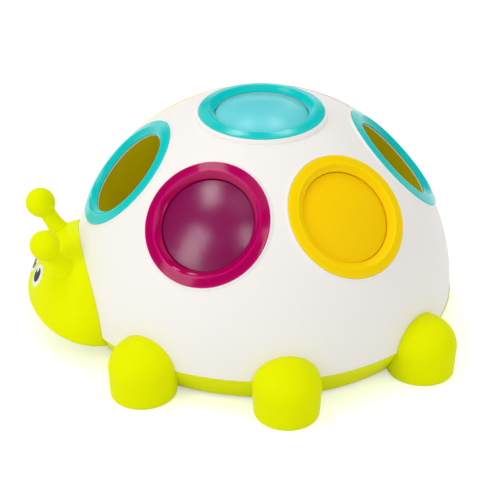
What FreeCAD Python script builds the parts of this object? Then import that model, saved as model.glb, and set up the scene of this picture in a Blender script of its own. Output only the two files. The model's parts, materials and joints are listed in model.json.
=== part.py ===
import FreeCAD, Part
import math
import os

from FreeCAD import Vector

os.makedirs("parts", exist_ok=True)

# Toy turtle for a baby: a white dome with seven ringed holes, five press discs on
# springs behind them, a lime tray with six feet, and a lime head with two feelers.
# Millimetres. +Z is up, the head looks along -Y, the turtle's left side is +X.
# Heights are above the ground. Azimuths are counted from the head towards +X.

# White dome
SHELL_RADIUS = 87.2
SHELL_WALL = 2.4
SPHERE_Z = 17.8
RIM_Z = 14.8
SEAM_GAP = 0.1

# Rings round the holes
RING_RADIUS = 28.2
RING_HOLE_RADIUS = 21.0
RING_PROUD = 0.77
RING_SEAT_DROP = 0.9
RING_CREST_RADIUS = 24.1
RING_CREST_RISE = 1.5
RING_CREST_WIDTH = 0.3
RING_LIP_BULGE = 0.08
RING_BEVEL_DROP = 2.05
RING_FIT = 0.12
SIDE_RING_ELEVATION = 43.4
SIDE_RING_COUNT = 6
TOP_RING_LIFT = 1.0

# Pegs that hold a ring on the dome
PEG_RADIUS = 1.4
PEG_CIRCLE_RADIUS = 25.4
PEG_REACH = 1.4
PEG_COUNT = 3
PRESS_CLEARANCE = 0.05

# Hole in the dome under each ring, the flat land round it and the collar round the ring
SHELL_HOLE_RADIUS = 21.15
HOLE_EDGE = 0.8
HOLE_CHAMFER = 1.0
LAND_THICKNESS = 2.4
COLLAR_DROP = 0.1
COLLAR_WIDTH = 0.6
COLLAR_FLARE = 0.6
COLLAR_FLARE_HEIGHT = 1.0

# Press discs
DISC_GAP = 0.65
DISC_CURVE_RADIUS = 57.0
DISC_WALL = 2.2
DISC_RIM_BELOW_SEAT = 0.4
DISC_FLANGE_REACH = 2.1
DISC_FLANGE_THICKNESS = 2.0
DISC_STOP_GAP = 0.3
DISC_EDGE_ROUND = 0.6
STEM_RADIUS = 5.0
STEM_BORE_CLEARANCE = 0.08
STEM_TAIL = 2.0
SPRING_RIB_WIDTH = 3.0
SPRING_RIB_TOP_DROP = 5.6

# Springs under the discs
SPRING_RADIUS = 11.0
SPRING_WIRE = 1.2
SPRING_TURNS = 4
SPRING_SEAT_GAP = 0.1

# Inner core that carries the springs and guides the stems
CORE_RADIUS = 66.0
CORE_WALL = 2.4
PAD_RADIUS = 15.5
PAD_RISE = 1.0
POST_RADIUS = 8.0
POST_RISE = 6.0
POST_DEPTH = 8.0
CORE_FLANGE_WIDTH = 9.0
CORE_FLANGE_THICKNESS = 2.4
CORE_BOSS_INSET = 7.0
CORE_SCREW_COUNT = 4

# Liners behind the empty holes
LINER_RADIUS = 21.3
LINER_WALL = 1.5
LINER_FIT = 0.1
LINER_SHOULDER = 0.9
LINER_SHOULDER_HEIGHT = 2.0
LINER_CORE_GAP = 0.3

# Tray with the lime band
TRAY_BOTTOM_Z = 1.4
TRAY_FLOOR = 2.2
TRAY_WALL = 2.4
BAND_PROUD = 0.4
BAND_TAPER = 8.7
BAND_EDGE_ROUND = 0.9
LIP_HEIGHT = 2.8
LIP_WALL = 1.6
LIP_FIT = 0.15

# Feet
FOOT_AZIMUTHS = (47.5, 90.0, 136.0)
FOOT_OUTSET = 1.6
FOOT_HALF_WIDTH = 15.2
FOOT_HALF_DEPTH = 16.2
FOOT_CROWN = 13.6
FOOT_PARTING_Z = 13.7
FOOT_DRAFT = 0.9
SOLE_FACING = 0.2
FOOT_EDGE_ROUND = 1.8
FOOT_WALL = 2.2
LUG_WIDTH = 12.0
LUG_THICKNESS = 2.4
LUG_Z = 5.6
FOOT_SCREW_OUTSET = 1.2

# Head, an egg half standing on a shallow chin
HEAD_OVERHANG = 6.0
HEAD_CENTRE_Z = 12.2
HEAD_HALF_WIDTH = 42.8
HEAD_HALF_LENGTH = 26.5
HEAD_CROWN = 33.0
HEAD_CHIN = 7.2
HEAD_TILT = 10.6
HEAD_WALL = 2.4
HEAD_BOSS_AZIMUTH = 14.0
HEAD_BOSS_ELEVATION = 8.0

# Feelers
FEELER_X = 18.4
FEELER_FORWARD = 10.4
FEELER_LEAN_FORWARD = 30.0
FEELER_LEAN_OUT = 6.5
FEELER_LENGTH = 15.5
FEELER_BALL_RADIUS = 6.85
FEELER_WAIST_RADIUS = 3.8
FEELER_WAIST_HEIGHT = 6.0
FEELER_BASE_RADIUS = 5.7
FEELER_BASE_SINK = 2.0
FEELER_PLUG_RADIUS = 3.0
FEELER_PLUG_LENGTH = 7.0
SOCKET_WALL = 2.0

# Eyes
EYE_X = 6.7
EYE_UP = 16.1
EYE_HALF_WIDTH = 5.7
EYE_HALF_HEIGHT = 5.2
EYE_DEPTH = 1.2
PUPIL_HALF_WIDTH = 3.6
PUPIL_HALF_HEIGHT = 3.3
PUPIL_SHIFT = 0.6
PUPIL_DEPTH = 0.6
GLINT_RADIUS = 1.2
GLINT_IN = 1.9
GLINT_UP = 1.8
INLAY_CLEARANCE = 0.03
INLAY_RUNOUT = 1.0

# Screws, one size all through
SCREW_RADIUS = 1.2
SCREW_HEAD_RADIUS = 2.8
SCREW_HEAD_THICKNESS = 2.0
SCREW_LENGTH = 12.0
SCREW_POINT = 1.2
SCREW_POINT_RADIUS = 0.4
SLOT_LENGTH = 2.8
SLOT_WIDTH = 0.7
SLOT_DEPTH = 1.0
PILOT_CLEARANCE = 0.05
PILOT_END = 1.0
SCREW_HOLE_CLEARANCE = 0.5
SCREW_HEAD_ROOM = 1.4
ACCESS_CLEARANCE = 0.4
COLUMN_WALL = 1.0
BOSS_WALL = 2.4
BOSS_END = 2.0
SHELL_SCREW_INSET = 14.2
SHELL_SCREW_LAND = 3.0
SHELL_SCREW_COUNT = 6
RIB_THICKNESS = 2.0

# Sizes worked out from the ones above
RING_PLANE = math.sqrt(SHELL_RADIUS ** 2 - RING_RADIUS ** 2) + RING_PROUD
SEAT_PLANE = RING_PLANE - RING_SEAT_DROP
LAND_PLANE = SEAT_PLANE - LAND_THICKNESS
DISC_RADIUS = SHELL_HOLE_RADIUS - DISC_GAP
LINER_OUTSIDE = LINER_RADIUS + LINER_WALL
HOLE_EDGE_PLANE = SEAT_PLANE - HOLE_EDGE
FLANGE_RADIUS = SHELL_HOLE_RADIUS + DISC_FLANGE_REACH
FLANGE_TOP = LAND_PLANE - DISC_STOP_GAP
DISC_RIM_PLANE = SEAT_PLANE - DISC_RIM_BELOW_SEAT
DISC_BULGE = DISC_CURVE_RADIUS - math.sqrt(DISC_CURVE_RADIUS ** 2 - DISC_RADIUS ** 2)
DISC_TOP = DISC_RIM_PLANE + DISC_BULGE
SPRING_TOP = DISC_TOP - SPRING_RIB_TOP_DROP
PAD_PLANE = CORE_RADIUS + PAD_RISE
POST_TOP = CORE_RADIUS + POST_RISE
POST_BOTTOM = CORE_RADIUS - POST_DEPTH
STEM_BOTTOM = POST_BOTTOM - STEM_TAIL
BEYOND_DOME = SHELL_RADIUS + HEAD_HALF_LENGTH
BAND_TOP_RADIUS = SHELL_RADIUS + BAND_PROUD
BAND_BOTTOM_RADIUS = SHELL_RADIUS - BAND_TAPER
TRAY_FLOOR_TOP = TRAY_BOTTOM_Z + TRAY_FLOOR
FOOT_CENTRE_RADIUS = SHELL_RADIUS + FOOT_OUTSET
FOOT_SCREW_RADIUS = FOOT_CENTRE_RADIUS + FOOT_SCREW_OUTSET
HEAD_CENTRE_Y = -(SHELL_RADIUS - HEAD_OVERHANG)
PILOT_RADIUS = SCREW_RADIUS + PILOT_CLEARANCE
SCREW_HOLE_RADIUS = SCREW_RADIUS + SCREW_HOLE_CLEARANCE
ACCESS_RADIUS = SCREW_HEAD_RADIUS + ACCESS_CLEARANCE
BOSS_RADIUS = PILOT_RADIUS + BOSS_WALL
COLUMN_RADIUS = ACCESS_RADIUS + COLUMN_WALL
SHELL_SCREW_RADIUS = SHELL_RADIUS - SHELL_SCREW_INSET
CORE_SCREW_RADIUS = CORE_RADIUS - CORE_BOSS_INSET
SCREW_SEAT_Z = TRAY_FLOOR_TOP + SCREW_HEAD_ROOM
SHELL_SCREW_SEAT_Z = RIM_Z - SHELL_SCREW_LAND
CORE_COLUMN_TOP = SCREW_SEAT_Z + TRAY_FLOOR
TILT = math.radians(HEAD_TILT)
HEAD_FRONT = math.hypot(HEAD_HALF_LENGTH * math.cos(TILT), HEAD_CHIN * math.sin(TILT))
DOME_Y = (HEAD_FRONT - HEAD_CENTRE_Y - SHELL_RADIUS) / 2
FAR = 4 * SHELL_RADIUS

UP = Vector(0, 0, 1)
ORIGIN = Vector(0, 0, 0)

# Each hole: name, azimuth, elevation and how far its seat is lifted
SIDE_HOLES = ("front", "front_left", "rear_left", "rear", "rear_right", "front_right")
HOLES = {"top": (0.0, 90.0, TOP_RING_LIFT)}
for index, side in enumerate(SIDE_HOLES):
    HOLES[side] = (360.0 / SIDE_RING_COUNT * index, SIDE_RING_ELEVATION, 0.0)
EMPTY_HOLES = ("front", "rear")
DISC_HOLES = [name for name in HOLES if name not in EMPTY_HOLES]


def save(shape, name):
    """Move a finished piece so that the whole toy's box is centred, and write it."""
    shape = shape.removeSplitter()
    shape.translate(Vector(0, DOME_Y, 0))
    if not shape.isValid():
        print("not valid:", name)
    print(name, len(shape.Solids), round(shape.Volume, 1))
    shape.exportStep("parts/%s.step" % name)


def point(r, z):
    return Vector(r, 0, z)


def line(a, b):
    return Part.LineSegment(point(*a), point(*b)).toShape()


def arc(a, middle, b):
    return Part.Arc(point(*a), point(*middle), point(*b)).toShape()


def spin(edges):
    """Turn a closed outline in the r-z plane into a solid about the Z axis."""
    face = Part.Face(Part.Wire(edges))
    return face.revolve(ORIGIN, UP, 360)


def spin_points(points):
    edges = [line(a, b) for a, b in zip(points, points[1:] + points[:1])]
    return spin(edges)


def tube(r, z0, z1):
    return Part.makeCylinder(r, z1 - z0, Vector(0, 0, z0))


def corner_arc(corner, before, after, radius):
    """Round a corner of an outline: both ends of the round and its middle."""
    c = point(*corner)
    u = (point(*before) - c).normalize()
    v = (point(*after) - c).normalize()
    half = u.getAngle(v) / 2
    reach = radius / math.tan(half)
    middle_way = (u + v).normalize()
    centre = c + middle_way * (radius / math.sin(half))
    start = c + u * reach
    end = c + v * reach
    middle = centre - middle_way * radius
    return start, middle, end


def rounded_outline(points, rounds):
    """Closed outline of straight runs, with a radius at each corner that has one."""
    starts = []
    ends = []
    edges = []
    count = len(points)
    for i in range(count):
        if i in rounds:
            before = points[i - 1]
            after = points[(i + 1) % count]
            start, middle, end = corner_arc(points[i], before, after, rounds[i])
            edges.append((i, Part.Arc(start, middle, end).toShape()))
        else:
            start = point(*points[i])
            end = start
        starts.append(start)
        ends.append(end)
    wire = []
    arcs = dict(edges)
    for i in range(count):
        if i in arcs:
            wire.append(arcs[i])
        wire.append(Part.LineSegment(ends[i], starts[(i + 1) % count]).toShape())
    return wire


def place(shape, hole):
    """Turn a shape built along +Z from the dome's centre to a hole's direction."""
    azimuth, elevation, lift = HOLES[hole]
    return aim(shape, azimuth, elevation, lift)


def aim(shape, azimuth, elevation, lift=0.0):
    shape = shape.copy()
    shape.translate(Vector(0, 0, lift))
    shape.rotate(ORIGIN, Vector(1, 0, 0), 90 - elevation)
    shape.rotate(ORIGIN, UP, azimuth)
    shape.translate(Vector(0, 0, SPHERE_Z))
    return shape


def round_about(shape, azimuth, radius):
    """Copy of a shape built at the axis, moved out towards the head and turned."""
    shape = shape.copy()
    shape.translate(Vector(0, -radius, 0))
    shape.rotate(ORIGIN, UP, azimuth)
    return shape


def fuse_all(shapes):
    return shapes[0].multiFuse(shapes[1:])


def mirror(shape):
    return shape.mirror(ORIGIN, Vector(1, 0, 0))


def dome_ball(radius, bottom):
    """Ball about the dome's centre, cut off level at the given height."""
    ball = Part.makeSphere(radius, Vector(0, 0, SPHERE_Z))
    below = Part.makeBox(FAR, FAR, FAR, Vector(-FAR / 2, -FAR / 2, bottom - FAR))
    return ball.cut(below)


def shell_screw_azimuths():
    step = 360.0 / SHELL_SCREW_COUNT
    return [step / 2 + step * i for i in range(SHELL_SCREW_COUNT)]


def core_screw_azimuths():
    step = 360.0 / CORE_SCREW_COUNT
    return [step / 2 + step * i for i in range(CORE_SCREW_COUNT)]


def head_boss_spots():
    return [(side * HEAD_BOSS_AZIMUTH, HEAD_BOSS_ELEVATION) for side in (1, -1)]


def screw(head_seat):
    """Pan-head screw along +Z whose head's underside is at head_seat."""
    head_face = head_seat - SCREW_HEAD_THICKNESS
    point_start = head_seat + SCREW_LENGTH - SCREW_POINT
    head = tube(SCREW_HEAD_RADIUS, head_face, head_seat)
    for length, width in ((SLOT_LENGTH, SLOT_WIDTH), (SLOT_WIDTH, SLOT_LENGTH)):
        corner = Vector(-length / 2, -width / 2, head_face)
        head = head.cut(Part.makeBox(length, width, SLOT_DEPTH, corner))
    shank = tube(SCREW_RADIUS, head_seat, point_start)
    tip = Part.makeCone(SCREW_RADIUS, SCREW_POINT_RADIUS, SCREW_POINT)
    tip.translate(Vector(0, 0, point_start))
    return fuse_all([head, shank, tip])


# White dome

def shell_screw_boss():
    """Boss inside the dome for a screw from below, with a rib to the wall."""
    bottom = RIM_Z + SEAM_GAP
    top = SHELL_SCREW_SEAT_Z + SCREW_LENGTH + PILOT_END + BOSS_END
    boss = tube(BOSS_RADIUS, bottom, top)
    rib_bottom = RIM_Z + LIP_HEIGHT + LIP_FIT
    corner = Vector(-RIB_THICKNESS / 2, -SHELL_SCREW_INSET, rib_bottom)
    rib = Part.makeBox(RIB_THICKNESS, SHELL_SCREW_INSET, top - rib_bottom, corner)
    return boss.fuse(rib)


def land():
    """Plug that thickens the dome round a hole, with the collar's slope outside."""
    top = RING_PLANE - COLLAR_DROP
    edge = RING_RADIUS + COLLAR_WIDTH
    foot = edge + COLLAR_FLARE
    return spin_points([
        (0, LAND_PLANE),
        (foot, LAND_PLANE),
        (foot, top - COLLAR_FLARE_HEIGHT),
        (edge, top),
        (0, top),
    ])


def hole_cutter(hole):
    """Room for a ring and its pegs, and a hole that is wider inside, for a disc or a liner."""
    seat = tube(RING_RADIUS + RING_FIT, SEAT_PLANE, BEYOND_DOME)
    way = tube(SHELL_HOLE_RADIUS, CORE_RADIUS, BEYOND_DOME)
    chamfer = spin_points([
        (0, LAND_PLANE),
        (SHELL_HOLE_RADIUS + HOLE_CHAMFER, LAND_PLANE),
        (SHELL_HOLE_RADIUS, HOLE_EDGE_PLANE),
        (0, HOLE_EDGE_PLANE),
    ])
    liner_bore = tube(LINER_OUTSIDE + LINER_FIT, LAND_PLANE, HOLE_EDGE_PLANE)
    wide = liner_bore if hole in EMPTY_HOLES else chamfer
    return fuse_all([seat, way, wide] + pegs(PEG_RADIUS + PRESS_CLEARANCE))


def dome_shell():
    """White dome with a flat land, a collar, a seat and peg holes round each hole."""
    outer = dome_ball(SHELL_RADIUS, RIM_Z + SEAM_GAP)
    inner = dome_ball(SHELL_RADIUS - SHELL_WALL, RIM_Z - FAR)
    wall = outer.cut(inner)
    wall = fuse_all([wall] + [place(land(), hole) for hole in HOLES])
    boss = shell_screw_boss()
    bosses = [round_about(boss, a, SHELL_SCREW_RADIUS) for a in shell_screw_azimuths()]
    inside = dome_ball(SHELL_RADIUS - SHELL_WALL / 2, RIM_Z + SEAM_GAP)
    wall = fuse_all([wall] + [b.common(inside) for b in bosses])
    cuts = [place(hole_cutter(hole), hole) for hole in HOLES]
    pilot = tube(PILOT_RADIUS, RIM_Z, SHELL_SCREW_SEAT_Z + SCREW_LENGTH + PILOT_END)
    cuts += [round_about(pilot, a, SHELL_SCREW_RADIUS) for a in shell_screw_azimuths()]
    through = tube(SCREW_HOLE_RADIUS, CORE_RADIUS, BEYOND_DOME)
    cuts += [aim(through, *spot) for spot in head_boss_spots()]
    return wall.cut(cuts)


def pegs(radius):
    """Pegs under a ring, from its seat down through the dome's wall."""
    shapes = []
    for i in range(PEG_COUNT):
        peg = tube(radius, LAND_PLANE - PEG_REACH, SEAT_PLANE + SEAM_GAP)
        peg.translate(Vector(PEG_CIRCLE_RADIUS, 0, 0))
        peg.rotate(ORIGIN, UP, 360.0 / PEG_COUNT * i)
        shapes.append(peg)
    return shapes


def ring():
    """Ring with a sloping lip, a narrow crest and a bevel down to the hole."""
    crest = RING_PLANE + RING_CREST_RISE
    outer_foot = (RING_RADIUS, SEAT_PLANE)
    outer_edge = (RING_RADIUS, RING_PLANE)
    crest_outside = (RING_CREST_RADIUS, crest)
    crest_inside = (RING_CREST_RADIUS - RING_CREST_WIDTH, crest)
    bevel_foot = (RING_HOLE_RADIUS, crest - RING_BEVEL_DROP)
    inner_foot = (RING_HOLE_RADIUS, SEAT_PLANE)
    lip_middle = (
        (RING_RADIUS + RING_CREST_RADIUS) / 2 + RING_LIP_BULGE,
        (RING_PLANE + crest) / 2 + RING_LIP_BULGE,
    )
    body = spin([
        line(outer_foot, outer_edge),
        arc(outer_edge, lip_middle, crest_outside),
        line(crest_outside, crest_inside),
        line(crest_inside, bevel_foot),
        line(bevel_foot, inner_foot),
        line(inner_foot, outer_foot),
    ])
    return fuse_all([body] + pegs(PEG_RADIUS))


# Press discs and their springs

def disc():
    """Domed disc with a flange under the dome's wall and a guide stem."""
    inner_curve = DISC_CURVE_RADIUS - DISC_WALL
    curve_centre = DISC_TOP - DISC_CURVE_RADIUS
    cap = Part.makeSphere(DISC_CURVE_RADIUS, Vector(0, 0, curve_centre))
    puck = tube(DISC_RADIUS, FLANGE_TOP - DISC_FLANGE_THICKNESS, DISC_TOP).common(cap)
    rim = [edge for edge in puck.Edges if edge.BoundBox.ZMin > DISC_RIM_PLANE - DISC_EDGE_ROUND]
    puck = puck.makeFillet(DISC_EDGE_ROUND, [edge for edge in rim if edge.Closed])
    flange = tube(FLANGE_RADIUS, FLANGE_TOP - DISC_FLANGE_THICKNESS, FLANGE_TOP)
    hollow_cap = Part.makeSphere(inner_curve, Vector(0, 0, curve_centre))
    hollow = tube(DISC_RADIUS - DISC_WALL, STEM_BOTTOM, DISC_TOP).common(hollow_cap)
    body = puck.fuse(flange).cut(hollow)
    rib = tube(SPRING_RADIUS + SPRING_RIB_WIDTH / 2, SPRING_TOP, DISC_TOP)
    rib = rib.cut(tube(SPRING_RADIUS - SPRING_RIB_WIDTH / 2, SPRING_TOP, DISC_TOP))
    stem = tube(STEM_RADIUS, STEM_BOTTOM, DISC_TOP)
    inside = Part.makeSphere(DISC_CURVE_RADIUS - DISC_WALL / 2, Vector(0, 0, curve_centre))
    return fuse_all([body, rib.common(inside), stem.common(inside)])


def spring(lift):
    """Round-wire coil of half turns, each tilted to climb half a pitch."""
    bottom = PAD_PLANE + SPRING_WIRE / 2 + SPRING_SEAT_GAP
    top = SPRING_TOP + lift - SPRING_WIRE / 2 - SPRING_SEAT_GAP
    climb = (top - bottom) / (2 * SPRING_TURNS)
    turn_radius = math.hypot(SPRING_RADIUS, climb / 2)
    slope = math.degrees(math.asin(climb / 2 / turn_radius))
    halves = []
    for i in range(2 * SPRING_TURNS):
        half = Part.makeTorus(turn_radius, SPRING_WIRE / 2, ORIGIN, UP, 0, 360, 180)
        half.rotate(ORIGIN, Vector(0, 1, 0), slope)
        half.rotate(ORIGIN, UP, 180 * i)
        half.translate(Vector(0, 0, bottom + climb * (i + 0.5)))
        halves.append(half)
    return fuse_all(halves)


# Inner core

def core_dome(radius, bottom):
    """Solid half ball on a straight skirt down to the given height."""
    ball = dome_ball(radius, SPHERE_Z)
    return ball.fuse(tube(radius, bottom, SPHERE_Z))


def at_each_disc(shape):
    """Copies of a shape on the core, which sits level under all five discs."""
    return [aim(shape, *HOLES[hole][:2]) for hole in DISC_HOLES]


def inner_core():
    """Mustard dome with a spring pad and a guide post under each disc."""
    solid = core_dome(CORE_RADIUS, TRAY_FLOOR_TOP + SEAM_GAP)
    hollow = core_dome(CORE_RADIUS - CORE_WALL, 0)
    pads = at_each_disc(tube(PAD_RADIUS, POST_BOTTOM, PAD_PLANE))
    posts = at_each_disc(tube(POST_RADIUS, POST_BOTTOM, POST_TOP))
    body = fuse_all([solid] + pads).cut(hollow)
    flange_bottom = CORE_COLUMN_TOP + SEAM_GAP
    flange_top = flange_bottom + CORE_FLANGE_THICKNESS
    flange_hole = CORE_RADIUS - CORE_WALL - CORE_FLANGE_WIDTH
    flange = tube(CORE_RADIUS - CORE_WALL / 2, flange_bottom, flange_top)
    flange = flange.cut(tube(flange_hole, flange_bottom, flange_top))
    pilot_top = SCREW_SEAT_Z + SCREW_LENGTH + PILOT_END
    boss = tube(BOSS_RADIUS, flange_bottom, pilot_top + BOSS_END)
    bosses = [round_about(boss, a, CORE_SCREW_RADIUS) for a in core_screw_azimuths()]
    body = fuse_all([body, flange] + posts + bosses)
    pilot = tube(PILOT_RADIUS, TRAY_FLOOR_TOP, pilot_top)
    cuts = at_each_disc(tube(STEM_RADIUS + STEM_BORE_CLEARANCE, STEM_BOTTOM, SEAT_PLANE))
    cuts += [round_about(pilot, a, CORE_SCREW_RADIUS) for a in core_screw_azimuths()]
    return body.cut(cuts)


def liner():
    """Tube from an empty hole's edge down to the core, with a shoulder under the land."""
    shoulder = LINER_OUTSIDE + LINER_SHOULDER
    shoulder_foot = LAND_PLANE - LINER_SHOULDER_HEIGHT
    top = HOLE_EDGE_PLANE - LINER_FIT
    bottom = math.sqrt(CORE_RADIUS ** 2 - LINER_RADIUS ** 2) + LINER_CORE_GAP
    return spin_points([
        (LINER_RADIUS, bottom),
        (LINER_OUTSIDE, bottom),
        (LINER_OUTSIDE, shoulder_foot),
        (shoulder, shoulder_foot),
        (shoulder, LAND_PLANE),
        (LINER_OUTSIDE, LAND_PLANE),
        (LINER_OUTSIDE, top),
        (LINER_RADIUS, top),
    ])


# Tray

def band_radius(z):
    """Outside radius of the tray's sloping band at a height."""
    share = (z - TRAY_BOTTOM_Z) / (RIM_Z - TRAY_BOTTOM_Z)
    return BAND_BOTTOM_RADIUS + share * (BAND_TOP_RADIUS - BAND_BOTTOM_RADIUS)


def band_solid(outset, drop):
    """Outside of the tray's sloping band as a solid, grown by outset."""
    return spin_points([
        (0, TRAY_BOTTOM_Z - drop),
        (BAND_BOTTOM_RADIUS + outset, TRAY_BOTTOM_Z - drop),
        (BAND_TOP_RADIUS + outset, RIM_Z),
        (0, RIM_Z),
    ])


def lug():
    """Tab that reaches into a foot and carries its screw."""
    start = band_radius(LUG_Z) - TRAY_WALL / 2
    end = FOOT_SCREW_RADIUS + LUG_WIDTH / 2
    corner = Vector(-LUG_WIDTH / 2, -end, LUG_Z)
    return Part.makeBox(LUG_WIDTH, end - start, LUG_THICKNESS, corner)


def foot_azimuths():
    return list(FOOT_AZIMUTHS) + [-a for a in FOOT_AZIMUTHS]


def base_tray():
    """Shallow tray with a lip for the dome, screw columns and six foot lugs."""
    lip_outer = SHELL_RADIUS - SHELL_WALL - LIP_FIT
    lip_inner = lip_outer - LIP_WALL
    points = [
        (0, TRAY_BOTTOM_Z),
        (BAND_BOTTOM_RADIUS, TRAY_BOTTOM_Z),
        (BAND_TOP_RADIUS, RIM_Z),
        (lip_outer, RIM_Z),
        (lip_outer, RIM_Z + LIP_HEIGHT),
        (lip_inner, RIM_Z + LIP_HEIGHT),
        (lip_inner, RIM_Z - TRAY_WALL),
        (band_radius(TRAY_FLOOR_TOP) - TRAY_WALL, TRAY_FLOOR_TOP),
        (0, TRAY_FLOOR_TOP),
    ]
    bowl = spin(rounded_outline(points, {1: BAND_EDGE_ROUND}))
    shell_column = tube(COLUMN_RADIUS, TRAY_BOTTOM_Z, RIM_Z)
    core_post = tube(COLUMN_RADIUS, TRAY_BOTTOM_Z, CORE_COLUMN_TOP)
    inside = band_solid(-TRAY_WALL / 2, 0)
    adds = [round_about(shell_column, a, SHELL_SCREW_RADIUS).common(inside)
            for a in shell_screw_azimuths()]
    adds += [round_about(core_post, a, CORE_SCREW_RADIUS) for a in core_screw_azimuths()]
    adds += [round_about(lug(), a, 0) for a in foot_azimuths()]
    body = fuse_all([bowl] + adds)
    shell_access = tube(ACCESS_RADIUS, 0, SHELL_SCREW_SEAT_Z)
    core_access = tube(ACCESS_RADIUS, 0, SCREW_SEAT_Z)
    clear = tube(SCREW_HOLE_RADIUS, 0, RIM_Z + LIP_HEIGHT)
    lug_clear = tube(SCREW_HOLE_RADIUS, 0, LUG_Z + LUG_THICKNESS)
    boss_room = tube(BOSS_RADIUS + SEAM_GAP, RIM_Z, RIM_Z + LIP_HEIGHT)
    cuts = []
    for azimuth in shell_screw_azimuths():
        cuts += [round_about(c, azimuth, SHELL_SCREW_RADIUS)
                 for c in (shell_access, clear, boss_room)]
    for azimuth in core_screw_azimuths():
        cuts += [round_about(c, azimuth, CORE_SCREW_RADIUS) for c in (core_access, clear)]
    cuts += [round_about(lug_clear, a, FOOT_SCREW_RADIUS) for a in foot_azimuths()]
    return body.cut(cuts)


def body_keepout():
    """Room that the tray and the dome take, which feet and head are cut to."""
    cone = band_solid(SEAM_GAP, SEAM_GAP)
    ball = dome_ball(SHELL_RADIUS + SEAM_GAP, RIM_Z - SEAM_GAP)
    return cone.fuse(ball)


# Feet

def quarter_oval(r, h, z):
    """Arc from the axis at z + h out to radius r at z."""
    top = point(0, z + h)
    side = point(r, z)
    centre = point(0, z)
    if r >= h:
        oval = Part.Ellipse(side, top, centre)
        return Part.ArcOfEllipse(oval, 0, math.pi / 2).toShape()
    oval = Part.Ellipse(top, side, centre)
    return Part.ArcOfEllipse(oval, 0, math.pi / 2).toShape()


def bullet(inset, bottom):
    """Upright foot form: an oval crown on a slightly drafted barrel."""
    half_width = FOOT_HALF_WIDTH - inset
    base = (half_width - FOOT_DRAFT, bottom)
    waist = (half_width, FOOT_PARTING_Z)
    start, middle, end = corner_arc(base, waist, (0, bottom), FOOT_EDGE_ROUND)
    form = spin([
        quarter_oval(half_width, FOOT_CROWN - inset, FOOT_PARTING_Z),
        Part.LineSegment(point(*waist), start).toShape(),
        Part.Arc(start, middle, end).toShape(),
        Part.LineSegment(end, point(0, bottom)).toShape(),
        line((0, bottom), (0, FOOT_PARTING_Z + FOOT_CROWN - inset)),
    ])
    stretch = FreeCAD.Matrix()
    stretch.scale(1, (FOOT_HALF_DEPTH - inset) / half_width, 1)
    return form.transformGeometry(stretch)


def foot():
    """Hollow foot under the head's place, open to the dome and the tray."""
    outer = round_about(bullet(0, -SOLE_FACING), 0, FOOT_CENTRE_RADIUS)
    inner = round_about(bullet(FOOT_WALL, FOOT_WALL), 0, FOOT_CENTRE_RADIUS)
    ground = Part.makeBox(FAR, FAR, FAR, Vector(-FAR / 2, -FAR / 2, -FAR))
    boss_bottom = LUG_Z + LUG_THICKNESS + SEAM_GAP
    boss = tube(BOSS_RADIUS, boss_bottom, FOOT_PARTING_Z + FOOT_CROWN)
    boss = round_about(boss, 0, FOOT_SCREW_RADIUS).common(outer)
    body = outer.cut(inner).fuse(boss).cut(body_keepout()).cut(ground)
    pilot = tube(PILOT_RADIUS, -SOLE_FACING, LUG_Z + SCREW_LENGTH + PILOT_END)
    access = tube(ACCESS_RADIUS, -SOLE_FACING, LUG_Z)
    body = body.cut([round_about(c, 0, FOOT_SCREW_RADIUS) for c in (pilot, access)])
    return max(body.Solids, key=lambda solid: solid.Volume)


# Head

def egg(inset):
    """Head form: a high upper half on a shallow chin, tilted nose up."""
    parts = []
    for height, sign in ((HEAD_CROWN, 1), (HEAD_CHIN, -1)):
        stretch = FreeCAD.Matrix()
        stretch.scale(HEAD_HALF_WIDTH - inset, HEAD_HALF_LENGTH - inset, height - inset)
        half = Part.makeSphere(1, ORIGIN, UP * sign, 0, 90, 360)
        parts.append(half.transformGeometry(stretch))
    form = parts[0].fuse(parts[1])
    form.rotate(ORIGIN, Vector(1, 0, 0), -HEAD_TILT)
    form.translate(Vector(0, HEAD_CENTRE_Y, HEAD_CENTRE_Z))
    return form


def head_frame(p):
    """A point of the toy in the head's own tilted axes."""
    y = p.y - HEAD_CENTRE_Y
    z = p.z - HEAD_CENTRE_Z
    return Vector(p.x, math.cos(TILT) * y - math.sin(TILT) * z, math.sin(TILT) * y + math.cos(TILT) * z)


def head_level(p):
    q = head_frame(p)
    return (q.x / HEAD_HALF_WIDTH) ** 2 + (q.y / HEAD_HALF_LENGTH) ** 2 + (q.z / HEAD_CROWN) ** 2


def on_head(start, way):
    """Point where a line from inside the head leaves its upper half."""
    near = 0.0
    far = 2 * HEAD_HALF_WIDTH
    for step in range(60):
        middle = (near + far) / 2
        if head_level(start + way * middle) < 1:
            near = middle
        else:
            far = middle
    return start + way * near


def head_normal(p):
    q = head_frame(p)
    n = Vector(q.x / HEAD_HALF_WIDTH ** 2, q.y / HEAD_HALF_LENGTH ** 2, q.z / HEAD_CROWN ** 2)
    out = Vector(n.x, math.cos(TILT) * n.y + math.sin(TILT) * n.z,
                 -math.sin(TILT) * n.y + math.cos(TILT) * n.z)
    return out.normalize()


def feeler_axis():
    """Where a feeler stands on the head, and the way that it leans."""
    foot_point = Vector(FEELER_X, HEAD_CENTRE_Y - FEELER_FORWARD, HEAD_CENTRE_Z)
    base = on_head(foot_point, UP)
    lean = math.radians(FEELER_LEAN_FORWARD)
    out = math.radians(FEELER_LEAN_OUT)
    way = Vector(math.sin(out), -math.cos(out) * math.sin(lean), math.cos(out) * math.cos(lean))
    return base, way


def along(shape, base, way):
    """Move a shape built along +Z so that its origin is at base and +Z is way."""
    shape = shape.copy()
    turn = FreeCAD.Rotation(UP, way)
    shape.Placement = FreeCAD.Placement(base, turn).multiply(shape.Placement)
    return shape


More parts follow.
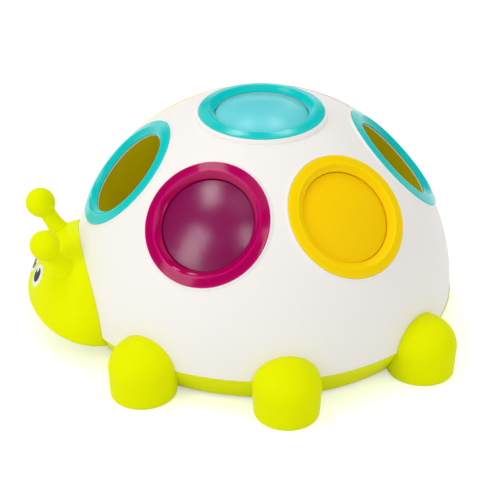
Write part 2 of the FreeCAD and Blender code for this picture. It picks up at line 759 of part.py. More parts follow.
def stalk():
    """Feeler's stalk: a waist that flares out to its base with a hollow curve."""
    widening = FEELER_BASE_RADIUS - FEELER_WAIST_RADIUS
    height = FEELER_WAIST_HEIGHT + FEELER_BASE_SINK
    curve = (height ** 2 + widening ** 2) / (2 * widening)
    half_turn = math.asin(height / curve) / 2
    middle = (
        FEELER_WAIST_RADIUS + curve * (1 - math.cos(half_turn)),
        FEELER_WAIST_HEIGHT - curve * math.sin(half_turn),
    )
    waist = (FEELER_WAIST_RADIUS, FEELER_WAIST_HEIGHT)
    base = (FEELER_BASE_RADIUS, -FEELER_BASE_SINK)
    deep = -FEELER_BASE_SINK - FEELER_BASE_RADIUS
    return spin([
        line((0, deep), (FEELER_BASE_RADIUS, deep)),
        line((FEELER_BASE_RADIUS, deep), base),
        arc(base, middle, waist),
        line(waist, (FEELER_WAIST_RADIUS, FEELER_LENGTH)),
        line((FEELER_WAIST_RADIUS, FEELER_LENGTH), (0, FEELER_LENGTH)),
        line((0, FEELER_LENGTH), (0, deep)),
    ])


def feeler():
    base, way = feeler_axis()
    ball = Part.makeSphere(FEELER_BALL_RADIUS, Vector(0, 0, FEELER_LENGTH))
    grown = along(ball.fuse(stalk()), base, way).cut(egg(-PRESS_CLEARANCE))
    grown = max(grown.Solids, key=lambda solid: solid.Volume)
    plug = tube(FEELER_PLUG_RADIUS, -FEELER_PLUG_LENGTH, FEELER_LENGTH)
    return grown.fuse(along(plug, base, way))


def eye_frame():
    start = Vector(EYE_X, HEAD_CENTRE_Y, HEAD_CENTRE_Z + EYE_UP)
    spot = on_head(start, Vector(0, -1, 0))
    return spot, head_normal(spot)


def eye_prism(half_width, half_height, shift=ORIGIN):
    """Oval prism through the head's surface, wide across and high up the face."""
    spot, normal = eye_frame()
    across = UP.cross(normal).normalize()
    upward = normal.cross(across)
    depth = 6 * EYE_DEPTH
    stretch = FreeCAD.Matrix()
    stretch.scale(half_width, half_height, 1)
    prism = Part.makeCylinder(1, depth, Vector(0, 0, -depth / 2)).transformGeometry(stretch)
    prism.translate(shift)
    turn = FreeCAD.Rotation(across, upward, normal, "ZXY")
    prism.Placement = FreeCAD.Placement(spot, turn).multiply(prism.Placement)
    return prism


def pupil_prism(grow):
    shift = Vector(-PUPIL_SHIFT, 0, 0)
    prism = eye_prism(PUPIL_HALF_WIDTH + grow, PUPIL_HALF_HEIGHT + grow, shift)
    glint = eye_prism(GLINT_RADIUS - grow, GLINT_RADIUS - grow,
                      Vector(-PUPIL_SHIFT - GLINT_IN, GLINT_UP, 0))
    return prism.cut(glint)


def skin(depth):
    """Outermost layer of the head form, as thick as depth."""
    return egg(0).cut(egg(depth))


def eye():
    white = eye_prism(EYE_HALF_WIDTH, EYE_HALF_HEIGHT).common(skin(EYE_DEPTH))
    pocket = pupil_prism(INLAY_CLEARANCE).common(skin(PUPIL_DEPTH + INLAY_CLEARANCE))
    return white.cut(pocket)


def pupil():
    return pupil_prism(0).common(skin(PUPIL_DEPTH))


def head_shell():
    """Hollow head, open to the dome, with feeler sockets and eye recesses."""
    form = egg(0)
    body = form.cut(egg(HEAD_WALL))
    base, way = feeler_axis()
    socket = tube(FEELER_PLUG_RADIUS + SOCKET_WALL, -FEELER_PLUG_LENGTH, FEELER_PLUG_LENGTH)
    bore = tube(FEELER_PLUG_RADIUS + PRESS_CLEARANCE, -2 * FEELER_PLUG_LENGTH, 2 * FEELER_PLUG_LENGTH)
    pocket = eye_prism(EYE_HALF_WIDTH + INLAY_CLEARANCE, EYE_HALF_HEIGHT + INLAY_CLEARANCE)
    pocket = pocket.common(egg(-INLAY_RUNOUT).cut(egg(EYE_DEPTH + INLAY_CLEARANCE)))
    screw_end = SHELL_RADIUS - SHELL_WALL + SCREW_LENGTH + PILOT_END
    adds = []
    cuts = []
    for azimuth, elevation in head_boss_spots():
        boss = aim(tube(BOSS_RADIUS, SHELL_RADIUS, BEYOND_DOME), azimuth, elevation)
        adds.append(boss.common(form))
        pilot = tube(PILOT_RADIUS, SHELL_RADIUS - SHELL_WALL, screw_end)
        cuts.append(aim(pilot, azimuth, elevation))
    for flip in (False, True):
        tool = along(socket, base, way).common(form)
        hole = along(bore, base, way)
        hollow = pocket
        if flip:
            tool = mirror(tool)
            hole = mirror(hole)
            hollow = mirror(hollow)
        adds.append(tool)
        cuts += [hole, hollow]
    body = fuse_all([body] + adds).cut(body_keepout()).cut(cuts)
    return max(body.Solids, key=lambda solid: solid.Volume)


# Screw groups

def shell_screws():
    one = screw(SHELL_SCREW_SEAT_Z)
    return [round_about(one, a, SHELL_SCREW_RADIUS) for a in shell_screw_azimuths()]


def core_screws():
    one = screw(SCREW_SEAT_Z)
    return [round_about(one, a, CORE_SCREW_RADIUS) for a in core_screw_azimuths()]


def foot_screws():
    one = screw(LUG_Z)
    return [round_about(one, a, FOOT_SCREW_RADIUS) for a in foot_azimuths()]


def head_screws():
    seat = math.sqrt((SHELL_RADIUS - SHELL_WALL) ** 2 - SCREW_HEAD_RADIUS ** 2)
    return [aim(screw(seat), *spot) for spot in head_boss_spots()]


def build():
    save(dome_shell(), "dome_shell")
    bezel = ring()
    for hole in HOLES:
        save(place(bezel, hole), "ring_" + hole)
    press = disc()
    for hole in DISC_HOLES:
        azimuth, elevation, lift = HOLES[hole]
        save(place(press, hole), "disc_" + hole)
        save(aim(spring(lift), azimuth, elevation), "spring_" + hole)
    save(inner_core(), "inner_core")
    lining = liner()
    for hole in EMPTY_HOLES:
        save(place(lining, hole), "liner_" + hole)
    save(base_tray(), "base_tray")
    paw = foot()
    for name, azimuth in zip(("front", "middle", "rear"), FOOT_AZIMUTHS):
        save(round_about(paw, azimuth, 0), "foot_%s_left" % name)
        save(round_about(paw, -azimuth, 0), "foot_%s_right" % name)
    save(head_shell(), "head_shell")
    for name, piece in (("feeler", feeler()), ("eye", eye()), ("pupil", pupil())):
        save(piece, name + "_left")
        save(mirror(piece), name + "_right")
    groups = {
        "shell_screws": shell_screws(),
        "core_screws": core_screws(),
        "foot_screws": foot_screws(),
        "head_screws": head_screws(),
    }
    for name, solids in groups.items():
        save(Part.makeCompound(solids), name)


build()
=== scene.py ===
import json
from math import asin, cos, hypot, pi, radians, sin, sqrt, tan

import bmesh
import bpy
from mathutils import Matrix, Vector


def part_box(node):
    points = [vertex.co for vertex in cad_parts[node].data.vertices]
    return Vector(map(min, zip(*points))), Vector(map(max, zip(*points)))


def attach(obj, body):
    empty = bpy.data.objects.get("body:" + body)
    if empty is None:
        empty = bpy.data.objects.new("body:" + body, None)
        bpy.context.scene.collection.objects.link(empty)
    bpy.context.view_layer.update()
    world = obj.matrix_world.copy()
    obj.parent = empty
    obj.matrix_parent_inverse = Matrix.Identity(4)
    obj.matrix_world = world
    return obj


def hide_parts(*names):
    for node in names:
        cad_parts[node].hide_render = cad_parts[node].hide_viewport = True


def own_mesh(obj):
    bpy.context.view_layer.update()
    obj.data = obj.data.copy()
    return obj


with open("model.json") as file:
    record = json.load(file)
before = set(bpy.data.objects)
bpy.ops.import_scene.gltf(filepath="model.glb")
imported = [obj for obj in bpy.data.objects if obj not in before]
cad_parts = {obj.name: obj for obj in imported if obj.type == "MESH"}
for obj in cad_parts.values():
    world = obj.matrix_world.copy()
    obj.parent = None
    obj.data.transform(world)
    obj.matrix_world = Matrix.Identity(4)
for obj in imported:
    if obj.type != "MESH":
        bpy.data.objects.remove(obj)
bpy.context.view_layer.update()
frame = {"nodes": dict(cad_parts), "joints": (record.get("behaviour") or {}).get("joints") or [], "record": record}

MM = 0.001

# The dome is cut from a ball. Heights along a hole's axis are counted from the ball's centre.
BALL_HEIGHT = 17.8 * MM
shell_low, shell_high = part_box("dome_shell")
BALL_CENTRE = Vector((0, (shell_low.y + shell_high.y) / 2, BALL_HEIGHT))

# Each hole: azimuth from the head towards the turtle's left, elevation, and how far it is lifted
SIDE_HOLES = ("front", "front_left", "rear_left", "rear", "rear_right", "front_right")
SIDE_ELEVATION = 43.4
TOP_LIFT = 1.0 * MM
HOLES = {"top": (0, 90, TOP_LIFT)}
for index, side in enumerate(SIDE_HOLES):
    HOLES[side] = (360 / len(SIDE_HOLES) * index, SIDE_ELEVATION, 0)
DISC_HOLES = [hole for hole in HOLES if "disc_" + hole in frame["nodes"]]

# Finish of each node, from the record
NODE_SLOTS = {part["node"]: part["material_slot"] for part in frame["record"]["subparts"]}

# Rings round the holes
RING_RADIUS = 28.2 * MM
RING_HOLE = 20.95 * MM
RING_SEAT = 82.384 * MM
RING_EDGE = 83.60 * MM
RING_EDGE_ROUND = 0.35 * MM
RING_FACETS = 192
LIP_BULGE = 0.02 * MM
LIP_STEPS = 4
CREST = 84.784 * MM
CREST_RADIUS = 23.95 * MM
CREST_ROUND = 0.8 * MM
BEVEL_HOLLOW = 0.22 * MM
BEVEL_STEPS = 8
BEVEL_FOOT = 82.734 * MM
BEVEL_FOOT_ROUND = 0.25 * MM
SLEEVE_RADIUS = 21.1 * MM
SLEEVE_ROUND = 0.05 * MM

# Four sleeves line the edge of their hole, and the other three stop just under the seat
SLEEVE_FOOT = 81.45 * MM
SHORT_SLEEVE_FOOT = 82.24 * MM
SHORT_SLEEVED = ("top", "front", "rear")

# Painted glow: a lighter colour painted along a ring's crest and outer edge, for light shining through the thin
# plastic there
CREST_PAINTED_GLOW_WIDTH = 0.55 * MM
RIM_PAINTED_GLOW_START = 26.6 * MM
RIM_PAINTED_GLOW = 0.8

# Springs under the discs
COIL_RADIUS = 11.0 * MM
COIL_TURNS = 4
COIL_POINTS_A_TURN = 28
COIL_WIRE = 1.2 * MM
COIL_WIRE_ROUNDNESS = 5
COIL_END_SQUEEZE = 0.11
PAD_TOP = 67.0 * MM

# Press discs, with a stem, a stop flange and a rib that sits on the spring
DISC_RADIUS = 20.72 * MM
DISC_RIM = 81.89 * MM
DISC_CURVE = 57.0 * MM
DISC_TOP = DISC_RIM + DISC_CURVE - sqrt(DISC_CURVE ** 2 - DISC_RADIUS ** 2)
DISC_WALL = 2.2 * MM
DISC_EDGE_ROUND = 0.6 * MM
DISC_FOOT_ROUND = 0.2 * MM
DISC_INSIDE_ROUND = 0.3 * MM
DISC_CROWN_STEPS = 40
DISC_FACETS = 160
DISC_TRAVEL = 5.0 * MM
FLANGE_RADIUS = 23.25 * MM
FLANGE_TOP = 79.684 * MM
FLANGE_THICKNESS = 2.0 * MM
FLANGE_ROUND = 0.4 * MM
STEM_RADIUS = 5.0 * MM
STEM_FOOT = 56.0 * MM
STEM_ROUND = 0.8 * MM
RIB_WIDTH = 3.0 * MM
RIB_DROP = 5.6 * MM
RIB_FOOT = DISC_TOP - RIB_DROP

# Guide collars under the dome, round the discs' flanges
GUIDE_CLEARANCE = 0.15 * MM
GUIDE_RADIUS = FLANGE_RADIUS + GUIDE_CLEARANCE
GUIDE_WALL = 0.4 * MM
GUIDE_TOP = 79.95 * MM
GUIDE_TOP_ROUND = 0.05 * MM
GUIDE_FOOT = 74.2 * MM
GUIDE_FOOT_ROUND = 0.1 * MM
GUIDE_FACETS = 128

# How turned pieces are drawn. A fillet takes at most FILLET_SHARE of the sides that it joins.
ON_AXIS = 1e-7
FILLET_STEPS = 6
FILLET_SHARE = 0.49
SHARP_EDGE = 40

# Colours as light reflected, not as display values
WHITE = (0.930, 0.902, 0.870)
WHITE_SHADE = (0.915, 0.885, 0.848)
LIME = (0.835, 0.895, 0.0)
LIME_SHADE = (0.805, 0.865, 0.0)
TEAL = (0.0, 0.605, 0.58)
# Each ring colour is followed by a lighter colour that is painted on as glow along its crest and rim
TEAL_PAINTED_GLOW = (0.02, 0.65, 0.62)
MAGENTA = (0.43, 0.0, 0.080)
MAGENTA_PAINTED_GLOW = (0.66, 0.0, 0.21)
YELLOW = (1.0, 0.67, 0.0)
YELLOW_PAINTED_GLOW = (1.0, 0.76, 0.0)
SKY = (0.125, 0.70, 0.755)
PLUM = (0.262, 0.0, 0.086)
AMBER = (1.0, 0.64, 0.0)
MUSTARD = (0.52, 0.43, 0.0)
EYE_WHITE = (0.82, 0.86, 0.77)
PUPIL_GREY = (0.032, 0.033, 0.022)
STEEL = (0.60, 0.60, 0.58)
STEEL_STREAK = (0.42, 0.42, 0.41)
PURE_WHITE = (1.0, 1.0, 1.0)

# Unevenness of moulded plastic: clouds in its colour, smears in its polish, waves in its skin
CLOUD_SIZE = 22 * MM
SMEAR_SIZE = 7 * MM
SMEAR_SPREAD = 0.10
WAVE_SIZE = 11 * MM
WAVE_SHARE = 1.5

# Streaks that the die leaves in drawn wire
STREAK_SIZE = 0.8 * MM
STREAK_DEPTH = 0.03 * MM
WIRE_POLISH = 0.22
WIRE_POLISH_SPREAD = 0.2


# Nodes of a finish, written as arithmetic

class Link:
    """One output in a node tree. Arithmetic on it adds Math nodes to the same tree."""

    def __init__(self, finish, socket):
        self.finish = finish
        self.socket = socket

    def math(self, operation, first, second):
        return self.finish.node("ShaderNodeMath", {"operation": operation}, {0: first, 1: second})

    def __add__(self, other):
        return self.math("ADD", self, other)

    def __radd__(self, other):
        return self.math("ADD", other, self)

    def __sub__(self, other):
        return self.math("SUBTRACT", self, other)

    def __rsub__(self, other):
        return self.math("SUBTRACT", other, self)

    def __mul__(self, other):
        return self.math("MULTIPLY", self, other)

    def __rmul__(self, other):
        return self.math("MULTIPLY", other, self)

    def largest(self, other):
        return self.math("MAXIMUM", self, other)


class Finish:
    """A node tree that is filled one node at a time."""

    def __init__(self, tree):
        self.tree = tree
        self.tree.nodes.clear()

    def node(self, kind, settings, inputs, output=0):
        """Add a node, with its settings first and then a value or a link for its sockets."""
        made = self.tree.nodes.new(kind)
        for name, value in settings.items():
            setattr(made, name, value)
        for name, value in inputs.items():
            if isinstance(value, Link):
                self.tree.links.new(value.socket, made.inputs[name])
            elif isinstance(value, tuple) and made.inputs[name].type == "RGBA":
                made.inputs[name].default_value = (*value, 1.0)
            else:
                made.inputs[name].default_value = value
        return Link(self, made.outputs[output]) if made.outputs else None

    def noise(self, size, detail, roughness=0.5):
        """Cloudy value from 0 to 1 whose patches are about size across."""
        place = self.node("ShaderNodeTexCoord", {}, {}, "Object")
        inputs = {"Vector": place, "Scale": 1 / size, "Detail": detail, "Roughness": roughness}
        return self.node("ShaderNodeTexNoise", {}, inputs)

    def between(self, first, second, share):
        """Blend of two colours. They are sockets 6 and 7 of a Mix node, and output 2."""
        return self.node("ShaderNodeMix", {"data_type": "RGBA"}, {0: share, 6: first, 7: second}, 2)

    def ramp(self, value, start, end, first, last, kind="LINEAR"):
        """Value that runs from first at start to last at end."""
        inputs = {"Value": value, "From Min": start, "From Max": end, "To Min": first, "To Max": last}
        return self.node("ShaderNodeMapRange", {"interpolation_type": kind}, inputs)

    def bump(self, height, depth):
        return self.node("ShaderNodeBump", {}, {"Distance": depth, "Height": height})

    def skin(self, inputs):
        """Close a material's tree with one shader for the whole surface."""
        self.output(self.node("ShaderNodeBsdfPrincipled", {}, inputs))

    def output(self, shader, kind="ShaderNodeOutputMaterial"):
        self.node(kind, {}, {"Surface": shader})


def new_finish(name):
    material = bpy.data.materials.new(name)
    material.use_nodes = True
    return material, Finish(material.node_tree)


def moulded(name, colour, shade, polish, gloss, grain_size, grain_depth, edge=None):
    """Moulded plastic: faint clouding in the colour, uneven polish and a fine skin grain.

    An edge colour is a painted glow, blended in on a ring's crest and rim for light that shines through
    see-through plastic there.
    """
    material, finish = new_finish(name)
    cloud = finish.noise(CLOUD_SIZE, detail=3.0)
    smear = finish.noise(SMEAR_SIZE, detail=4.0, roughness=0.6)
    grain = finish.noise(grain_size, detail=2.0, roughness=0.55)
    wave = finish.noise(WAVE_SIZE, detail=1.0)
    tint = finish.between(shade, colour, cloud)
    # Painted glow: the edge colour is blended in on the crest and rim that the ring marks
    if edge:
        painted_glow = finish.node("ShaderNodeAttribute", {"attribute_name": "painted_glow"}, {}, "Fac")
        tint = finish.between(tint, edge, painted_glow)
    finish.skin({
        "Base Color": tint,
        "Roughness": polish + SMEAR_SPREAD * (smear - 0.5),
        "Specular IOR Level": gloss,
        "Normal": finish.bump(grain + WAVE_SHARE * wave, grain_depth),
    })
    return material


def drawn_wire(name):
    """Bright steel wire with fine streaks from the die."""
    material, finish = new_finish(name)
    streak = finish.noise(STREAK_SIZE, detail=5.0, roughness=0.7)
    finish.skin({
        "Base Color": finish.between(STEEL_STREAK, STEEL, streak),
        "Metallic": 1.0,
        "Roughness": WIRE_POLISH + WIRE_POLISH_SPREAD * streak,
        "Normal": finish.bump(streak, STREAK_DEPTH),
    })
    return material


def darker(colour, share):
    return tuple(part * share for part in colour)


def make_finishes():
    """A material for each slot of the record, by the slot's name."""
    # Colour, shade, roughness, gloss, grain size, grain depth and, on the rings, painted glow colour
    plastics = {
        "dome_white": (WHITE, WHITE_SHADE, 0.42, 0.20, 0.55 * MM, 0.010 * MM),
        "lime": (LIME, LIME_SHADE, 0.46, 0.02, 0.50 * MM, 0.012 * MM),
        "core_mustard": (MUSTARD, darker(MUSTARD, 0.95), 0.45, 0.06, 0.50 * MM, 0.012 * MM),
        "ring_teal": (TEAL, darker(TEAL, 0.95), 0.18, 0.24, 0.60 * MM, 0.004 * MM, TEAL_PAINTED_GLOW),
        "ring_magenta": (MAGENTA, darker(MAGENTA, 0.93), 0.11, 0.26, 0.60 * MM, 0.004 * MM, MAGENTA_PAINTED_GLOW),
        "ring_yellow": (YELLOW, darker(YELLOW, 0.97), 0.34, 0.05, 0.60 * MM, 0.004 * MM, YELLOW_PAINTED_GLOW),
        "disc_light_blue": (SKY, darker(SKY, 0.96), 0.30, 0.50, 0.45 * MM, 0.012 * MM),
        "disc_purple": (PLUM, darker(PLUM, 0.92), 0.24, 0.80, 0.45 * MM, 0.014 * MM),
        "disc_warm_yellow": (AMBER, darker(AMBER, 0.97), 0.42, 0.05, 0.45 * MM, 0.012 * MM),
        "eye_white": (EYE_WHITE, darker(EYE_WHITE, 0.97), 0.28, 0.08, 0.40 * MM, 0.004 * MM),
        "pupil_grey": (PUPIL_GREY, darker(PUPIL_GREY, 0.85), 0.28, 0.04, 0.40 * MM, 0.004 * MM),
    }
    made = {name: moulded(name, *values) for name, values in plastics.items()}
    for name in ("spring_steel", "screw_steel"):
        made[name] = drawn_wire(name)
    return made


finishes = make_finishes()


# Outlines and turned pieces

def rounded(corners):
    """Closed outline from corners (radius, height, fillet), each fillet drawn as a short arc."""
    outline = []
    for i, (r, z, fillet) in enumerate(corners):
        if not fillet:
            outline.append((r, z))
            continue
        corner = Vector((r, z))
        before = Vector(corners[i - 1][:2]) - corner
        after = Vector(corners[(i + 1) % len(corners)][:2]) - corner
        half = before.angle(after) / 2
        room = FILLET_SHARE * min(before.length, after.length)
        reach = min(fillet / tan(half), room)
        middle_way = (before.normalized() + after.normalized()).normalized()
        centre = corner + middle_way * (reach / cos(half))
        start = corner + before.normalized() * reach - centre
        turn = (corner + after.normalized() * reach - centre).angle_signed(start)
        for step in range(FILLET_STEPS + 1):
            spoke = Matrix.Rotation(turn * step / FILLET_STEPS, 2) @ start
            outline.append(tuple(centre + spoke))
    return outline


def bowed(first, second, sag, steps):
    """Corners on a shallow arc between two points, bulging to the left by sag, ends left out."""
    start = Vector(first)
    run = Vector(second) - start
    left = Vector((-run.y, run.x)).normalized()
    corners = []
    for step in range(1, steps):
        share = step / steps
        spot = start + run * share + left * (4 * sag * share * (1 - share))
        corners.append((*spot, 0))
    return corners


def cap_arc(curve, top, start, end, steps):
    """Corners on a cap of the given radius of curve and crown height, from radius start to end."""
    first = asin(start / curve)
    last = asin(end / curve)
    corners = []
    for step in range(steps + 1):
        angle = first + (last - first) * step / steps
        corners.append((curve * sin(angle), top - curve + curve * cos(angle), 0))
    return corners


def turned(name, outline, facets):
    """Solid of revolution about +Z from a closed outline of (radius, height)."""
    mesh = bmesh.new()
    levels = []
    for r, z in outline:
        if r < ON_AXIS:
            levels.append([mesh.verts.new((0, 0, z))] * facets)
            continue
        level = []
        for step in range(facets):
            angle = 2 * pi * step / facets
            level.append(mesh.verts.new((r * cos(angle), r * sin(angle), z)))
        levels.append(level)
    for i, level in enumerate(levels):
        following = levels[(i + 1) % len(levels)]
        if level[0] is level[1] and following[0] is following[1]:
            continue
        for step in range(facets):
            after = (step + 1) % facets
            corners = [level[step], level[after], following[after], following[step]]
            mesh.faces.new(list(dict.fromkeys(corners)))
    bmesh.ops.recalc_face_normals(mesh, faces=mesh.faces)
    return piece_from(name, mesh)


def piece_from(name, mesh):
    data = bpy.data.meshes.new(name)
    mesh.to_mesh(data)
    mesh.free()
    return shown(name, data)


def shown(name, data):
    """Put mesh, curve, camera or lamp data in the scene under this name."""
    thing = bpy.data.objects.new(name, data)
    bpy.context.scene.collection.objects.link(thing)
    return thing


def smooth(piece):
    """Smooth shading that keeps the edges that are steeper than SHARP_EDGE degrees."""
    piece.data.shade_smooth()
    piece.data.set_sharp_from_angle(angle=radians(SHARP_EDGE))


def toward(azimuth, elevation, lift=0.0):
    """Turn +Z at the ball's centre to a hole's direction."""
    spin = Matrix.Rotation(radians(azimuth), 4, "Z")
    tip = Matrix.Rotation(radians(90 - elevation), 4, "X")
    return Matrix.Translation(BALL_CENTRE) @ spin @ tip @ Matrix.Translation((0, 0, lift))


def dressed(piece, finish, body, *nodes):
    """Give the piece its finish and body, and let it stand for its CAD nodes."""
    piece.data.materials.clear()
    piece.data.materials.append(finishes[finish])
    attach(piece, body)
    if nodes:
        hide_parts(*nodes)


# Rings, guide collars, discs and springs

def ring_outline(sleeve_foot):
    edge = (RING_RADIUS, RING_EDGE)
    crest = (CREST_RADIUS, CREST)
    foot = (RING_HOLE, BEVEL_FOOT)
    corners = [
        (RING_RADIUS, RING_SEAT, 0),
        (*edge, RING_EDGE_ROUND),
        *bowed(edge, crest, -LIP_BULGE, LIP_STEPS),
        (*crest, CREST_ROUND),
        *bowed(crest, foot, BEVEL_HOLLOW, BEVEL_STEPS),
        (*foot, BEVEL_FOOT_ROUND),
        (RING_HOLE, sleeve_foot, SLEEVE_ROUND),
        (SLEEVE_RADIUS, sleeve_foot, SLEEVE_ROUND),
        (SLEEVE_RADIUS, RING_SEAT, 0),
    ]
    return rounded(corners)


def mark_painted_glow(data):
    """Store how much glow is painted at each point: 1 on the crest, rising towards the outer edge."""
    values = []
    for spot in data.vertices:
        radius = hypot(spot.co.x, spot.co.y)
        crest = max(0.0, 1 - abs(radius - CREST_RADIUS) / CREST_PAINTED_GLOW_WIDTH)
        rim = max(0.0, (radius - RIM_PAINTED_GLOW_START) / (RING_RADIUS - RIM_PAINTED_GLOW_START))
        on_top = spot.co.z > BEVEL_FOOT
        values.append(max(crest, RIM_PAINTED_GLOW * rim ** 2) if on_top else 0.0)
    data.attributes.new("painted_glow", "FLOAT", "POINT").data.foreach_set("value", values)


def make_rings():
    for hole in HOLES:
        node = "ring_" + hole
        sleeve_foot = SHORT_SLEEVE_FOOT if hole in SHORT_SLEEVED else SLEEVE_FOOT
        ring = turned("bezel_" + hole, ring_outline(sleeve_foot), RING_FACETS)
        # Mark where the painted glow goes on the crest and rim
        mark_painted_glow(ring.data)
        ring.data.transform(toward(*HOLES[hole]))
        smooth(ring)
        dressed(ring, NODE_SLOTS[node], "base", node)


def make_guides():
    """Collars that keep the inside out of sight when a disc is pressed in."""
    outside = GUIDE_RADIUS + GUIDE_WALL
    corners = [
        (GUIDE_RADIUS, GUIDE_FOOT, GUIDE_FOOT_ROUND),
        (outside, GUIDE_FOOT, GUIDE_FOOT_ROUND),
        (outside, GUIDE_TOP, GUIDE_TOP_ROUND),
        (GUIDE_RADIUS, GUIDE_TOP, GUIDE_TOP_ROUND),
    ]
    for hole in DISC_HOLES:
        guide = turned("guide_" + hole, rounded(corners), GUIDE_FACETS)
        guide.data.transform(toward(*HOLES[hole]))
        smooth(guide)
        dressed(guide, "dome_white", "base")


def disc_outline():
    """Half section of a disc, from the stem's foot round its underside to the crown."""
    under_curve = DISC_CURVE - DISC_WALL
    under_top = DISC_TOP - DISC_WALL
    hollow = DISC_RADIUS - DISC_WALL
    flange_foot = FLANGE_TOP - FLANGE_THICKNESS
    rib_in = COIL_RADIUS - RIB_WIDTH / 2
    rib_out = COIL_RADIUS + RIB_WIDTH / 2
    crown = cap_arc(DISC_CURVE, DISC_TOP, 0, DISC_RADIUS, DISC_CROWN_STEPS)[:-1]
    corners = [
        (0, STEM_FOOT, 0),
        (STEM_RADIUS, STEM_FOOT, STEM_ROUND),
        *cap_arc(under_curve, under_top, STEM_RADIUS, rib_in, steps=2),
        (rib_in, RIB_FOOT, DISC_INSIDE_ROUND),
        (rib_out, RIB_FOOT, DISC_INSIDE_ROUND),
        *cap_arc(under_curve, under_top, rib_out, hollow, steps=3),
        (hollow, flange_foot, DISC_INSIDE_ROUND),
        (FLANGE_RADIUS, flange_foot, FLANGE_ROUND),
        (FLANGE_RADIUS, FLANGE_TOP, FLANGE_ROUND),
        (DISC_RADIUS, FLANGE_TOP, DISC_FOOT_ROUND),
        (DISC_RADIUS, DISC_RIM, DISC_EDGE_ROUND),
        *reversed(crown),
    ]
    return rounded(corners)


def make_discs():
    for hole in DISC_HOLES:
        node = "disc_" + hole
        disc = turned("press_disc_" + hole, disc_outline(), DISC_FACETS)
        disc.data.transform(toward(*HOLES[hole]))
        smooth(disc)
        dressed(disc, NODE_SLOTS[node], node, node)


def coil(name, bottom, top):
    """Compression spring whose turns lie closer together towards both ends."""
    curve = bpy.data.curves.new(name, "CURVE")
    curve.dimensions = "3D"
    curve.bevel_depth = COIL_WIRE / 2
    curve.bevel_resolution = COIL_WIRE_ROUNDNESS
    curve.use_fill_caps = True
    steps = COIL_TURNS * COIL_POINTS_A_TURN
    low = bottom + COIL_WIRE / 2
    high = top - COIL_WIRE / 2
    line = curve.splines.new("POLY")
    line.points.add(steps)
    for step, spot in enumerate(line.points):
        share = step / steps
        climb = share - COIL_END_SQUEEZE * sin(2 * pi * share)
        angle = 2 * pi * COIL_TURNS * share
        height = low + (high - low) * climb
        spot.co = (COIL_RADIUS * cos(angle), COIL_RADIUS * sin(angle), height, 1)
    wire = shown(name, curve)
    graph = bpy.context.evaluated_depsgraph_get()
    data = bpy.data.meshes.new_from_object(wire.evaluated_get(graph))
    bpy.data.objects.remove(wire)
    return shown(name, data)


def make_springs():
    joints = {joint["child"]: joint for joint in frame["joints"]}
    for hole in DISC_HOLES:
        azimuth, elevation, lift = HOLES[hole]
        top = RIB_FOOT + lift
        spring = coil("coil_" + hole, PAD_TOP, top)
        turn = toward(azimuth, elevation)
        spring.data.transform(turn)
        smooth(spring)
        dressed(spring, "spring_steel", "base", "spring_" + hole)
        joint = joints["disc_" + hole]
        length = top - PAD_TOP
        keep = (length - DISC_TRAVEL) / length
        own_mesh(spring)


# Carried-over pieces

def finish_frame():
    """Every node of the frame that still shows gets its own finish."""
    for name, node in frame["nodes"].items():
        if node.hide_render:
            continue
        node.data.materials.clear()
        node.data.materials.append(finishes[NODE_SLOTS[name]])


# Setting

CAMERA_AZIMUTH = 82.708
CAMERA_ELEVATION = 29.661
CAMERA_ROLL = 0.239
CAMERA_DISTANCE = 1081.4 * MM
CAMERA_LENS = 169.27
CAMERA_FILM = 36
CAMERA_NEAR = 0.05
CAMERA_FAR = 50
AIM_RIGHT = -4.9 * MM
AIM_HEIGHT = 30.74 * MM
AXIS_FOOT = Vector((0, BALL_CENTRE.y, 0))

# Each lamp: azimuth and elevation in degrees, distance, width and height in metres, brightness
LAMPS = {
    "left_softbox": (31, 28, 0.95, 0.32, 0.54, 3.3),
    "top_strip": (-11, 65, 0.95, 0.38, 0.20, 4.6),
    "overhead": (112, 80, 1.0, 0.60, 0.40, 0.5),
    "behind_camera": (88, 47, 1.25, 0.22, 0.38, 4.0),
    "right_fill": (140, 32, 1.1, 0.62, 0.52, 1.1),
    "back_left": (-81, 56, 1.0, 0.12, 0.10, 15.0),
    "back_right": (-111, 55, 1.0, 0.12, 0.10, 15.0),
    "front_strip": (-74, 26, 1.0, 0.22, 0.60, 0.8),
    "rear_strip": (-110, 26, 1.0, 0.12, 0.60, 0.9),
}
LAMP_AIM = 50 * MM

# The world: soft light from the horizon and from above, and the sky that is seen
AMBIENT_LOW = 0.80
AMBIENT_ABOVE = 0.44
SKY_WHITE = 1.0
SKY_ABOVE = 0.03
SKY_FADE_START = 0.10
SKY_FADE_END = 0.28

FLOOR_REACH = 6.0
FLOOR_COLOUR = (0.86, 0.86, 0.86)
FLOOR_GLOW = 0.42


def heading(azimuth, elevation):
    """Unit vector from the toy: azimuth from the head towards its left, elevation upwards."""
    a = radians(azimuth)
    e = radians(elevation)
    return Vector((sin(a) * cos(e), -cos(a) * cos(e), sin(e)))


def rightward(back):
    """Level direction to the right of a viewer who stands in the direction back."""
    return Vector((0, 0, 1)).cross(back).normalized()


def facing(back, roll=0.0):
    """Rotation whose +Z is back, upright apart from the roll."""
    right = rightward(back)
    up = back.cross(right)
    turned_right = right * cos(roll) + up * sin(roll)
    turned_up = up * cos(roll) - right * sin(roll)
    return Matrix((turned_right, turned_up, back)).transposed().to_4x4()


def set_camera():
    back = heading(CAMERA_AZIMUTH, CAMERA_ELEVATION)
    target = AXIS_FOOT + rightward(back) * AIM_RIGHT + Vector((0, 0, AIM_HEIGHT))
    data = bpy.data.cameras.new("camera")
    data.lens = CAMERA_LENS
    data.sensor_width = CAMERA_FILM
    data.clip_start = CAMERA_NEAR
    data.clip_end = CAMERA_FAR
    camera = shown("camera", data)
    place = Matrix.Translation(target + back * CAMERA_DISTANCE)
    camera.matrix_world = place @ facing(back, radians(CAMERA_ROLL))
    bpy.context.scene.camera = camera


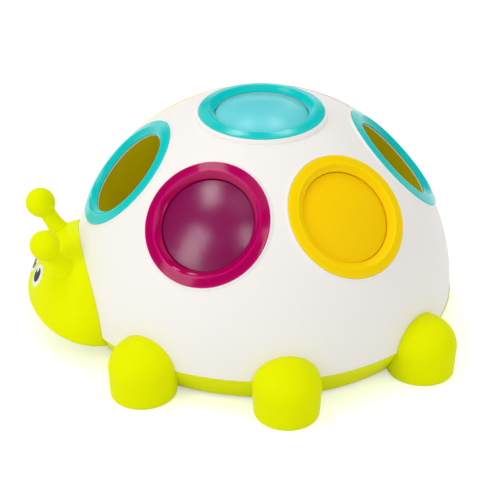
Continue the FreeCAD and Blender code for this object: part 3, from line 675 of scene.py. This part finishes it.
def set_lamps():
    middle = AXIS_FOOT + Vector((0, 0, LAMP_AIM))
    for name, (azimuth, elevation, distance, width, height, brightness) in LAMPS.items():
        data = bpy.data.lights.new(name, "AREA")
        data.shape = "RECTANGLE"
        data.size = width
        data.size_y = height
        data.energy = brightness * pi * width * height
        back = heading(azimuth, elevation)
        lamp = shown(name, data)
        lamp.matrix_world = Matrix.Translation(middle + back * distance) @ facing(back)


def seen(finish):
    """1 for what the camera, a reflection or a clear part looks at, 0 for lighting."""
    straight = finish.node("ShaderNodeLightPath", {}, {}, "Is Camera Ray")
    mirrored = finish.node("ShaderNodeLightPath", {}, {}, "Is Glossy Ray")
    through = finish.node("ShaderNodeLightPath", {}, {}, "Is Transmission Ray")
    return straight.largest(mirrored).largest(through)


def set_world():
    """White at the horizon and dim overhead to look at, and even soft light to see by."""
    world = bpy.data.worlds.new("studio")
    world.use_nodes = True
    finish = Finish(world.node_tree)
    way = finish.node("ShaderNodeTexCoord", {}, {}, "Generated")
    height = finish.node("ShaderNodeSeparateXYZ", {}, {0: way}, "Z")
    sight = finish.ramp(height, SKY_FADE_START, SKY_FADE_END, SKY_WHITE, SKY_ABOVE, "SMOOTHSTEP")
    light = finish.ramp(height, 0.0, 1.0, AMBIENT_LOW, AMBIENT_ABOVE)
    strength = light + (sight - light) * seen(finish)
    sky = finish.node("ShaderNodeBackground", {}, {"Color": PURE_WHITE, "Strength": strength})
    finish.output(sky, "ShaderNodeOutputWorld")
    bpy.context.scene.world = world


def set_floor():
    """Pale floor that takes shadows and glows a little to look at."""
    mesh = bmesh.new()
    signs = ((-1, -1), (1, -1), (1, 1), (-1, 1))
    mesh.faces.new([mesh.verts.new((x * FLOOR_REACH, y * FLOOR_REACH, 0)) for x, y in signs])
    floor = piece_from("floor", mesh)
    material, finish = new_finish("pale_floor")
    pale = finish.node("ShaderNodeBsdfDiffuse", {}, {"Color": FLOOR_COLOUR})
    strength = FLOOR_GLOW * seen(finish)
    glow = finish.node("ShaderNodeEmission", {}, {"Color": PURE_WHITE, "Strength": strength})
    finish.output(finish.node("ShaderNodeAddShader", {}, {0: pale, 1: glow}))
    floor.data.materials.append(material)


make_rings()
make_guides()
make_discs()
make_springs()
finish_frame()
set_camera()
set_lamps()
set_world()
set_floor()
bpy.context.scene.view_settings.view_transform = "Standard"
